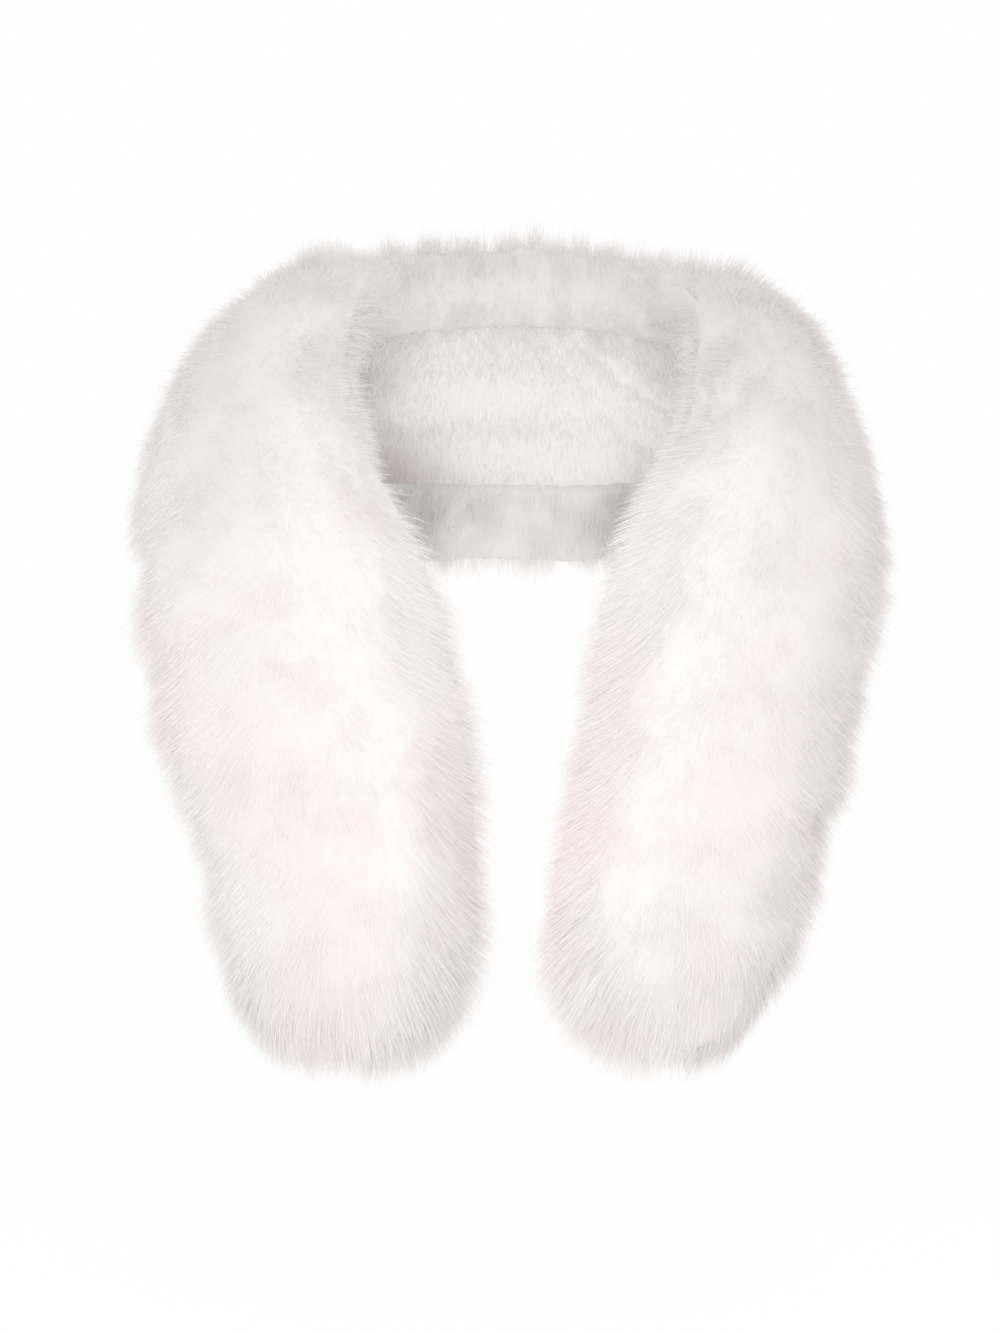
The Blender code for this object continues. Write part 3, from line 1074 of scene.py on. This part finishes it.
@dataclass(frozen=True)
class Ribbons:
    """The shape of the hairs: thin tapered ribbons of one quad and an end."""

    widths: tuple[float, ...] = (0.28, 0.23, 0.0)
    steps: tuple[float, ...] = (0.0, 0.52, 1.0)
    wave: float = 0.9
    wave_turns: float = 9.0
    side_wander: float = 0.9
    twist: float = 0.5
    cell: tuple[Span, ...] = ((0.1, 0.1), (0.9, 0.1), (0.15, 0.5), (0.85, 0.5), (0.5, 0.9))

    def points(self, rng: Generator, hair: PileGrid, bend: Array, first: Array) -> Array:
        """Lays the ribbons along the hairs' curves.

        Args:
            rng: the source of the unevenness.
            hair: the hairs.
            bend: the points that they bend towards.
            first: the share of each hair's length where its ribbon starts.

        Returns:
            Five points for each hair: two pairs and an end.
        """
        count = len(first)
        wave = rng.normal(0.0, self.wave, (count, 3))
        flat = unit(hair.outward + rng.normal(0.0, self.side_wander, (count, 3)))
        side_start = unit(np.cross(unit(hair.tip - bend), flat))
        twist = rng.normal(0.0, self.twist, count)[:, None]
        points = []
        for step, width in zip(self.steps, self.widths):
            share = (first + (1 - first) * step)[:, None]
            centre = curve(hair.root, bend, hair.tip, share) + wave * np.sin(share * self.wave_turns)
            tangent = unit(2 * (1 - share) * (bend - hair.root) + 2 * share * (hair.tip - bend))
            side = unit(side_start + np.cross(tangent, side_start) * twist * share)
            points.append(centre - side * width / 2)
            if width:
                points.append(centre + side * width / 2)
        return np.stack(points, axis=1)

    def faces(self, count: int) -> list[Array]:
        """The faces of a number of ribbons."""
        first = (np.arange(count) * len(self.cell))[:, None]
        return [first + np.array([[0, 1, 3, 2]]), first + np.array([[2, 3, 4]])]

    def tip_shares(self, first: Array) -> Array:
        """How near each point is to its hair's end, by where the ribbons start."""
        steps = np.repeat(self.steps, (2, 2, 1))
        return first[:, None] + (1 - first[:, None]) * steps


class Reach(NamedTuple):
    """One piece of pile: its name, the cloth it grows on and its ends along the strip."""

    name: str
    stretch: Stretch
    low: float
    high: float
    hairs: int


@dataclass
class Pile:
    """The long pile: a dense soft wool, and hairs that stand out of it."""

    strip: WornStrip
    shading: Shading = Shading()
    comb: Comb = Comb()
    ribbons: Ribbons = Ribbons()
    locks: tuple[Locks, ...] = (
        Locks(size=21.0, pull=0.10, fringe_pull=0.40, lean=2.4, uneven=0.08, seed=31),
        Locks(size=9.0, pull=0.18, fringe_pull=0.48, lean=1.4, uneven=0.08, seed=57),
        Locks(size=4.5, pull=0.20, fringe_pull=0.20, lean=0.8, uneven=0.03, seed=83),
    )
    seed: int = 7
    row_step: float = 5.0
    turn_step: float = 5.0
    lowest_turn: float = -90.0
    highest_turn: float = 270.0
    cap_rows: int = 8
    face_cosines: Span = (1.0, 0.62)
    face_fill: float = 0.86
    edge_fill: float = 0.885
    lip_fill: float = 0.74
    lip_turns: Span = (0.0, 45.0)
    hem_fill: float = 0.97
    hem_reach: Span = (-50.0, 20.0)
    edge_bend: float = 0.50
    face_bend: float = 0.72
    wool_rough: float = 0.025
    lip_height: float = 5.4
    lip_tuck: float = 1.8
    nape_places: Span = (160.0, 90.0)
    shortest: float = 0.40
    length_spread: float = 0.68
    length_shape: Span = (2.2, 1.4)
    edge_longer: float = 0.16
    stray_longer: float = 0.10
    stray_above: float = 0.94
    longest: float = 1.2
    hem_longest: float = 0.12
    hem_longest_reach: Span = (-20.0, 20.0)
    arc_per_degree: float = 1.25
    face_loose: float = 0.25
    edge_loose: float = 0.5
    calm: float = 0.38
    calm_turns: Span = (90.0, 50.0)
    hem_loose: float = 0.14
    hem_loose_reach: Span = (-40.0, 0.0)
    least_lean: float = 0.4
    face_even: float = 0.6
    # Painted shade in streaks by lock on the nape's rolled edges, where gaps between locks are dark.
    shade_streak: float = 0.25
    streak_turns: Span = (-5.0, 25.0)
    streak_shares: Span = (0.1, 0.9)
    sunk: float = 0.12
    first_shares: Span = (0.2, 0.8)

    def grid(self, low: float, high: float) -> PileGrid:
        """The pile's grid between two places.

        Args:
            low: the first place, past the hem where the stretch ends in one.
            high: the last place, in the same way.

        Returns:
            The grid, with the hem's cap where it has one.
        """
        knots, rows = self.strip.course.knots, self.cap_rows
        inside_low, inside_high = max(low, knots[0]), min(high, knots[-1])
        count = round((inside_high - inside_low) / self.row_step)
        places = np.linspace(inside_low, inside_high, count + 1)
        past = np.zeros_like(places)
        cap = np.linspace(0, 1, rows + 1)[1:] * self.strip.hem_pile
        if low < knots[0]:
            places = np.concatenate((np.full(rows, knots[0]), places))
            past = np.concatenate((cap[::-1], past))
        if high > knots[-1]:
            places = np.concatenate((places, np.full(rows, knots[-1])))
            past = np.concatenate((past, cap))
        turns = np.arange(self.lowest_turn, self.highest_turn + 1, self.turn_step)
        return self.strip.pile(places, past, turns)

    def face(self, turn: Array) -> Array:
        """How much a turn is on the pile's face: 1 on it, 0 at the edges and lips."""
        return ease(np.abs(np.cos(np.radians(np.clip(turn, 0.0, HALF_TURN)))), *self.face_cosines)

    def bend_at(self, turn: Array) -> Array:
        """How far out a hair bends, as a share of its length."""
        return self.edge_bend + (self.face_bend - self.edge_bend) * self.face(turn)

    def trim(self, place: Array, turn: Array) -> Array:
        """The share of its length that the pile keeps."""
        return add_patches(1.0 + 0.0 * place * turn, self.strip.course.patches(TRIMS), place, turn)

    def fill(self, place: Array, turn: Array) -> Array:
        """The share of the pile's depth that the wool fills.

        Args:
            place: millimetres along the strip.
            turn: degrees round the section.

        Returns:
            The share, less on the lips and at the hems.
        """
        share = self.edge_fill + (self.face_fill - self.edge_fill) * self.face(turn)
        share = share + (self.lip_fill - self.edge_fill) * ease(past_edges(turn), *self.lip_turns)
        hem = ease(self.strip.course.past_hem(place), *self.hem_reach)
        return share * (1 - (1 - self.hem_fill) * hem) * self.trim(place, turn)

    def wool(self, reach: Reach, material: Material) -> Object:
        """The dense soft wool at the foot of the pile, tucked under the lining at both borders.

        Args:
            reach: the piece of pile.
            material: its finish.

        Returns:
            The object.
        """
        rng = np.random.default_rng((self.seed, round(reach.low) + WOOL_SEED))
        grid = self.grid(reach.low, reach.high)
        fill = self.fill(grid.place, grid.turn)
        rough = fill.copy()
        rough[1:-1] += rng.uniform(-self.wool_rough, self.wool_rough, fill[1:-1].shape)
        length = np.linalg.norm(grid.tip - grid.root, axis=-1, keepdims=True)
        bend = grid.root + unit(grid.start) * length * self.bend_at(grid.turn)[..., None]
        points = curve(grid.root, bend, grid.tip, rough[..., None])
        to_lining = np.cross(grid.across[:, :1], grid.along[:, :1]) * self.lip_height
        between = np.linalg.norm(points[:, :1] - points[:, -1:], axis=-1, keepdims=True)
        tuck = grid.across[:, :1] * np.minimum(self.lip_tuck, between / 2)
        borders = points[:, :1] + to_lining - tuck, points[:, -1:] + to_lining + tuck
        points = np.concatenate((borders[0], points, borders[1]), axis=1)
        rows, width = points.shape[:2]
        faces = grid_faces(np.arange(rows * width).reshape(rows, width))
        obj = new_mesh_object(f"wool_{reach.name}", points.reshape(-1, 3), [faces], material)
        set_bake_map(obj.data, grid_cells(rows, width))
        # Painted shade on the wool: on its rims, hems and corners, and darker towards the roots where it
        # fills less of the pile.
        dull = self.shading.dull(grid.place, grid.turn, self.strip.course.past_hem(grid.place))
        for name, values in (("dull", dull), ("tip_share", fill), ("hair", np.full(fill.shape, 0.5))):
            set_attribute(obj.data, name, np.pad(values, ((0, 0), (1, 1)), mode="edge"))
        return obj

    @staticmethod
    def scatter(rng: Generator, grid: PileGrid, count: int) -> PileGrid:
        """Spreads hairs evenly over the area of a grid.

        Args:
            rng: the source of the unevenness.
            grid: the grid.
            count: how many hairs.

        Returns:
            The hairs as they grow.
        """
        diagonal = np.cross(grid.tip[1:, 1:] - grid.tip[:-1, :-1], grid.tip[1:, :-1] - grid.tip[:-1, 1:])
        total = np.cumsum(np.linalg.norm(diagonal, axis=-1).ravel() / 2)
        picks = (np.arange(count) + rng.random(count)) / count * total[-1]
        cell = np.minimum(np.searchsorted(total, picks), len(total) - 1)
        row, column = np.divmod(cell, diagonal.shape[1])
        return grid.at(row, column, rng.random(count), rng.random(count))

    def style(self, rng: Generator, hair: PileGrid, fill: Array) -> tuple[Array, Array, Array]:
        """Combs hairs, cuts them to length and gathers them in locks.

        Args:
            rng: the source of the unevenness.
            hair: the hairs as they grow.
            fill: the share of the pile's depth that the wool fills at each.

        Returns:
            Where the hairs end, what share of their length they keep, and how much shade is painted on them.
        """
        place, turn, count = hair.place, hair.turn, len(fill)
        face = self.face(turn)
        past_hem = self.strip.course.past_hem(place)
        nape = ease(np.abs(place), *self.nape_places)
        fringe = nape * (1 - face)
        sideways = hair.sideways()
        tip = self.comb.ends(rng, hair, nape, past_hem)
        grown = self.shortest + self.length_spread * rng.beta(*self.length_shape, count)
        scale = fill + (1 - fill) * grown + self.edge_longer * (1 - face)
        scale = scale + self.stray_longer * (rng.random(count) > self.stray_above) * (past_hem < 0)

        calm = self.calm * ease(turn, *self.calm_turns)
        loose = self.face_loose * face + (self.edge_loose - calm) * (1 - face)
        loose = loose + (self.hem_loose - loose) * ease(past_hem, *self.hem_loose_reach)
        dull = self.shading.dull(place, turn, past_hem)
        shown = nape * ease(past_edges(turn), *self.streak_turns)
        around = hair.around / self.arc_per_degree
        for locks in self.locks:
            ahead, aside, own = locks.gather(place, turn * self.arc_per_degree)
            pull = locks.pull * loose + (locks.fringe_pull - locks.pull * loose) * fringe
            tip = tip + (hair.down * ahead[:, None] + around * aside[:, None]) * pull[:, None]
            # Painted shade streaks, lock by lock.
            dull = dull + self.shade_streak * locks.fringe_pull * shown * ease(own[:, 2], *self.streak_shares)
            leaning = np.clip(loose / self.edge_loose + fringe, 0.0, 1.0)
            lean = (locks.lean * (self.least_lean + (1 - self.least_lean) * leaning))[:, None]
            tip = tip + hair.along * (own[:, 0:1] * lean) + sideways * (own[:, 1:2] * lean)
            scale = scale * (1 + locks.uneven * own[:, 2] * (1 - self.face_even * face))
        longest = self.longest - self.hem_longest * ease(past_hem, *self.hem_longest_reach)
        scale = np.minimum(scale, longest) * self.trim(place, turn)
        return hair.root + (tip - hair.root) * scale[:, None], scale, np.clip(dull, 0.0, 1.0)

    def hairs(self, reach: Reach, material: Material) -> Object:
        """The hairs of one piece as one mesh of thin tapered ribbons.

        Args:
            reach: the piece of pile.
            material: its finish.

        Returns:
            The object.
        """
        rng = np.random.default_rng((self.seed, round(reach.low) + HAIR_SEED))
        hair = self.scatter(rng, self.grid(reach.low, reach.high), reach.hairs)
        fill = self.fill(hair.place, hair.turn)
        length = np.linalg.norm(hair.tip - hair.root, axis=1, keepdims=True)
        hair.tip, scale, dull = self.style(rng, hair, fill)
        bend = hair.root + hair.start * length * (self.bend_at(hair.turn) * scale)[:, None]
        first = np.clip((fill - self.sunk) / scale, *self.first_shares)
        points = self.ribbons.points(rng, hair, bend, first).reshape(-1, 3)
        obj = new_mesh_object(f"pile_{reach.name}", points, self.ribbons.faces(reach.hairs), material)
        set_bake_map(obj.data, hair_cells(reach.hairs, self.ribbons.cell))
        per_hair = len(self.ribbons.cell)
        # Painted shade towards the roots follows each point's share of its hair.
        depth = np.maximum(fill - self.sunk, self.first_shares[0])
        set_attribute(obj.data, "tip_share", self.ribbons.tip_shares(depth))
        set_attribute(obj.data, "hair", np.repeat(rng.random(reach.hairs), per_hair))
        # Painted shade for each hair, by its share.
        set_attribute(obj.data, "dull", np.repeat(dull, per_hair))
        return obj


@dataclass
class Cloth:
    """One stretch's cloths: the backing that the pile grows on, and the plush lining with its short nap."""

    strip: WornStrip
    stretch: Stretch
    low: float
    high: float
    flat_width: float
    nap_hairs: int
    row_step: float = 3.0
    columns: int = 44
    backing_height: float = 1.5
    slack: float = 0.8
    slack_power: int = 6
    edge_power: int = 10
    crease_end: float = 0.22
    crease_wander: float = 0.25
    crease_waves: float = 9.0
    # Patches of painted shade in the lining's corners at the neck.
    shaded_hollows: tuple[Patch, ...] = (
        Patch(-92.0, 0.20, 30.0, 0.9, 0.8),
        Patch(-58.0, -0.80, 34.0, 0.50, 0.95),
        Patch(97.0, 0.40, 20.0, 0.4, 0.5),
        Patch(78.0, -0.8, 22.0, 0.4, 0.5),
    )
    # Painted shade in the lining's troughs.
    trough_depth: float = 1.2
    trough_share: float = 0.22
    seed: int = 11
    edge_share: float = 0.15
    neck_share: float = 0.4
    edge_columns: Span = (-1.0, -0.93)
    face_columns: Span = (-0.985, 0.985)
    root_sunk: float = 0.2
    lie: float = 1.2
    lie_wander: float = 0.4
    lie_waves: Triple = (17.0, 2.0, 7.3)
    face_lift: float = 0.3
    edge_lift: float = 0.9
    wander: float = 0.3
    nap_length: float = 5.0
    nap_lengths: Span = (0.7, 1.25)
    edge_longer: float = 1.7
    nap_width: float = 0.4
    cell: tuple[Span, ...] = ((0.1, 0.1), (0.9, 0.1), (0.5, 0.9))

    def hang(self, places: Array, columns: Array) -> Array:
        """How far the lining hangs off its even form towards the neck.

        Args:
            places: millimetres along the strip.
            columns: -1 at the outer edge to 1 at the neck edge.

        Returns:
            Millimetres, by the two inputs' common shape.
        """
        off = self.slack * (1 - columns**self.slack_power) + 0.0 * places
        for crease in CREASES:
            run, climb = crease.end[0] - crease.start[0], (crease.end[1] - crease.start[1]) * HALF_WIDTH
            x, y = places - crease.start[0], (columns - crease.start[1]) * HALF_WIDTH
            held = np.clip((x * run + y * climb) / (run * run + climb * climb), 0.0, 1.0)
            away = np.hypot(x - held * run, y - held * climb)
            fade = ease(held, 0.0, self.crease_end) * ease(held, 1.0, 1.0 - self.crease_end)
            wander = 1 + self.crease_wander * np.sin(held * self.crease_waves + crease.start[0])
            off = off + crease.rise * bell(away, crease.width * wander) * fade
        return np.maximum(off, 0.0) * (1 - columns**self.edge_power)

    def hollow_shade(self, places: Array, columns: Array) -> Array:
        """How much shade is painted on the lining, from 0 to 1: in the corners of the neck, and in its
        troughs.
        """
        deep = add_patches(0.0 * places * columns, self.shaded_hollows, places, columns)
        trough = ease(self.slack - self.hang(places, columns), 0.0, self.trough_depth)
        return np.clip(deep + self.trough_share * trough, 0.0, 1.0)

    @staticmethod
    def shell(name: str, top: Array, bottom: Array, material: Material) -> Object:
        """Builds a closed thin shell.

        Args:
            name: the piece's name.
            top: its grid of points on the fur's side.
            bottom: its grid of points on the neck's side.
            material: its finish.

        Returns:
            The object.
        """
        rows, width = top.shape[:2]
        points = np.concatenate((top.reshape(-1, 3), bottom.reshape(-1, 3)))
        index = np.arange(rows * width).reshape(rows, width)
        under = index + rows * width
        faces = [grid_faces(index), grid_faces(under)[:, ::-1]]
        for line, below in ((index[:, 0], under[:, 0]), (index[::-1, -1], under[::-1, -1])):
            faces.append(np.stack((line[:-1], line[1:], below[1:], below[:-1]), axis=1))
        for line, below in ((index[0], under[0]), (index[-1, ::-1], under[-1, ::-1])):
            faces.append(np.stack((line[1:], line[:-1], below[:-1], below[1:]), axis=1))
        obj = new_mesh_object(name, points, faces, material)
        flat = grid_cells(rows, width, 0.5)
        set_bake_map(obj.data, np.concatenate((flat, flat + (0.0, 0.5))))
        return obj

    def backing(self, material: Material) -> Object:
        """The thin knitted cloth under the pile, with half the lining's rows and columns.

        Args:
            material: its finish.

        Returns:
            The object.
        """
        count = round((self.high - self.low) / self.row_step)
        places = np.linspace(self.low, self.high, (count + 1) // 2 + 1)
        columns = np.linspace(-1, 1, self.columns + 1)[::2]
        top = self.strip.cloth(places, columns, self.backing_height)
        bottom = self.strip.cloth(places, columns, self.strip.face_gap)
        return self.shell(f"backing_{self.stretch.value}", top, bottom, material)

    def lining(self, material: Material) -> Object:
        """The lining with its creases.

        Args:
            material: its finish.

        Returns:
            The object.
        """
        count = round((self.high - self.low) / self.row_step)
        places = np.linspace(self.low, self.high, count + 1)
        columns = np.linspace(-1, 1, self.columns + 1)
        off = self.hang(places[:, None], columns[None, :])
        top = self.strip.cloth(places, columns, -off)
        bottom = self.strip.cloth(places, columns, -off - self.strip.lining_thickness)
        lining = self.shell(f"plush_{self.stretch.value}", top, bottom, material)
        # Painted shade in the lining's hollows, for its material.
        deep = self.hollow_shade(places[:, None], columns[None, :])
        set_attribute(lining.data, "hollow_shade", np.concatenate((deep, deep)))
        return lining

    def nap(self, material: Material) -> Object:
        """The lining's nap: short hairs brushed towards its outer edge, and off both edges.

        Args:
            material: its finish.

        Returns:
            The object.
        """
        rng = np.random.default_rng((self.seed, round(self.low) + HAIR_SEED))
        count = self.nap_hairs
        place = np.sort(rng.uniform(self.low + 1.0, self.high - 1.0, count))
        edge = rng.random(count) < self.edge_share
        side = np.where(edge & (rng.random(count) < self.neck_share), -1.0, 1.0)
        edge_column = rng.uniform(*self.edge_columns, count)
        face_column = rng.uniform(*self.face_columns, count)
        column = side * np.where(edge, edge_column, face_column)
        s = self.strip.course.sections(place)
        half = s.half - self.strip.corner_inset(self.strip.course.past_hem(place))
        lift = self.strip.cloth_rise(place, column) - self.hang(place, column) - self.strip.lining_thickness
        root = s.middle + s.across * (column * half)[:, None] + s.out * (lift + self.root_sunk)[:, None]
        long, turned, short = self.lie_waves
        wander = self.lie_wander * np.sin(place / long + turned * column) * np.cos(place / short)
        lie = side * (self.lie + wander)
        lifted = np.where(edge, self.edge_lift, self.face_lift)[:, None]
        lay = unit(-s.out * lifted - s.across * lie[:, None] + rng.normal(0.0, self.wander, (count, 3)))
        length = self.nap_length * rng.uniform(*self.nap_lengths, count)
        tip = root + lay * (length * np.where(edge, self.edge_longer, 1.0))[:, None]
        half_width = unit(np.cross(lay, rng.normal(0.0, 1.0, (count, 3)) + s.along)) * self.nap_width / 2
        points = np.stack((root - half_width, root + half_width, tip), axis=1).reshape(-1, 3)
        faces = [np.arange(count * 3).reshape(-1, 3)]
        obj = new_mesh_object(f"nap_{self.stretch.value}", points, faces, material)
        set_bake_map(obj.data, hair_cells(count, self.cell))
        # Painted shade in the lining's hollows, on the nap too.
        set_attribute(obj.data, "hollow_shade", np.repeat(self.hollow_shade(place, column), 3))
        return obj


@dataclass
class Studio:
    """Camera, light and floor."""

    lens: float = 100.0
    sensor: float = 36.0
    distance: float = 1.962
    elevation: float = 3.0
    aim: Triple = (-0.006, 0.0, -0.125)
    tone: float = 1.9
    sky: float = 0.995
    key_power: float = 4.05
    key_size: float = 0.40
    key_place: Triple = (0.0, -0.78, -0.02)
    floor_height: float = -0.62
    floor_reach: float = 14.0
    floor_shades: Span = (0.985, 0.995)
    floor_scale: float = 3.0
    floor_roughness: float = 0.9

    def build(self) -> None:
        """Makes the camera, the light, the sky and the floor."""
        angle = math.radians(self.elevation)
        back = Vector((0.0, -math.cos(angle), math.sin(angle)))
        camera = bpy.data.cameras.new("camera")
        camera.lens = self.lens
        camera.sensor_width = self.sensor
        place = Vector(self.aim) + back * self.distance
        bpy.context.scene.camera = self.stand(camera, place, -back)
        light = bpy.data.lights.new("key", "AREA")
        light.shape = "DISK"
        light.size = self.key_size
        light.energy = self.key_power
        key = self.stand(light, Vector(self.key_place), Vector(self.aim) - Vector(self.key_place))
        key.visible_camera = False
        self.light_sky()
        self.lay_floor()

    @staticmethod
    def stand(data: ID, place: Vector, ahead: Vector) -> Object:
        """Stands a camera or a light at a place.

        Args:
            data: the camera or the light.
            place: where it stands, in metres.
            ahead: the way it looks.

        Returns:
            The object.
        """
        obj = bpy.data.objects.new(data.name, data)
        obj.location = place
        obj.rotation_mode = "QUATERNION"
        obj.rotation_quaternion = ahead.to_track_quat("-Z", "Y")
        bpy.context.scene.collection.objects.link(obj)
        return obj

    def light_sky(self) -> None:
        """Lights the scene evenly from all round, and sets its tone."""
        scene = bpy.context.scene
        scene.world = bpy.data.worlds.new("studio")
        scene.world.use_nodes = True
        background = scene.world.node_tree.nodes["Background"]
        background.inputs["Color"].default_value = (1.0, 1.0, 1.0, 1.0)
        background.inputs["Strength"].default_value = self.sky
        scene.view_settings.view_transform = "Standard"
        scene.view_settings.gamma = self.tone

    def lay_floor(self) -> None:
        """Lays a plain pale floor."""
        mesh = bpy.data.meshes.new("floor")
        signs = ((-1, -1), (1, -1), (1, 1), (-1, 1))
        corners = [(x * self.floor_reach, y * self.floor_reach, self.floor_height) for x, y in signs]
        mesh.from_pydata(corners, [], [(0, 1, 2, 3)])
        material, maker = new_material("floor")
        low, high = [(shade, shade, shade) for shade in self.floor_shades]
        colour = maker.mix(maker.noise(maker.place(), self.floor_scale), low, high)
        maker.finish(maker.surface(colour, self.floor_roughness))
        mesh.materials.append(material)
        floor = bpy.data.objects.new("floor", mesh)
        bpy.context.scene.collection.objects.link(floor)


def dress(piece: Object, node: str) -> Object:
    """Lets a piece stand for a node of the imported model.

    Args:
        piece: the piece.
        node: the node's name.

    Returns:
        The piece.
    """
    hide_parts(node)
    LOG.info("%s: %d faces", piece.name, len(piece.data.polygons))
    return piece


def main() -> None:
    """Builds and dresses the wrap."""
    logging.basicConfig(level=logging.INFO, format="%(message)s")
    Studio().build()
    strip = WornStrip()
    pile = Pile(strip)
    fur, plush, knit = FurFinish().build(), PlushFinish().build(), KnitFinish().build()
    right, left = strip.course.place[RIGHT_SEAM], strip.course.place[LEFT_SEAM]
    start, end = strip.course.knots[0], strip.course.knots[-1]
    cap = strip.hem_pile
    reaches = (
        Reach("right_chest", Stretch.RIGHT_FRONT, start - cap, RIGHT_SPLIT, CHEST_HAIRS),
        Reach("right_shoulder", Stretch.RIGHT_FRONT, RIGHT_SPLIT, right, SHOULDER_HAIRS),
        Reach("nape_right", Stretch.BACK_NECK, right, 0, NAPE_HAIRS),
        Reach("nape_left", Stretch.BACK_NECK, 0, left, NAPE_HAIRS),
        Reach("left_shoulder", Stretch.LEFT_FRONT, left, LEFT_SPLIT, SHOULDER_HAIRS),
        Reach("left_chest", Stretch.LEFT_FRONT, LEFT_SPLIT, end + cap, CHEST_HAIRS),
    )
    grown: dict[Stretch, list[Object]] = {stretch: [] for stretch in Stretch}
    for reach in reaches:
        for piece in (pile.wool(reach, fur), pile.hairs(reach, fur)):
            grown[reach.stretch].append(dress(piece, f"fur_{reach.stretch.value}"))
    for cloth in (
        Cloth(strip, Stretch.RIGHT_FRONT, start, right, flat_width=0.1, nap_hairs=16000),
        Cloth(strip, Stretch.BACK_NECK, right, left, flat_width=0.105, nap_hairs=34000),
        Cloth(strip, Stretch.LEFT_FRONT, left, end, flat_width=0.098, nap_hairs=16000),
    ):
        name = cloth.stretch.value
        flat = (cloth.flat_width, (cloth.high - cloth.low) * MM)
        backing = dress(cloth.backing(knit), f"fur_{name}")
        lining = dress(cloth.lining(plush), f"lining_{name}")
        nap = dress(cloth.nap(plush), f"lining_{name}")


if __name__ == "__main__":
    main()
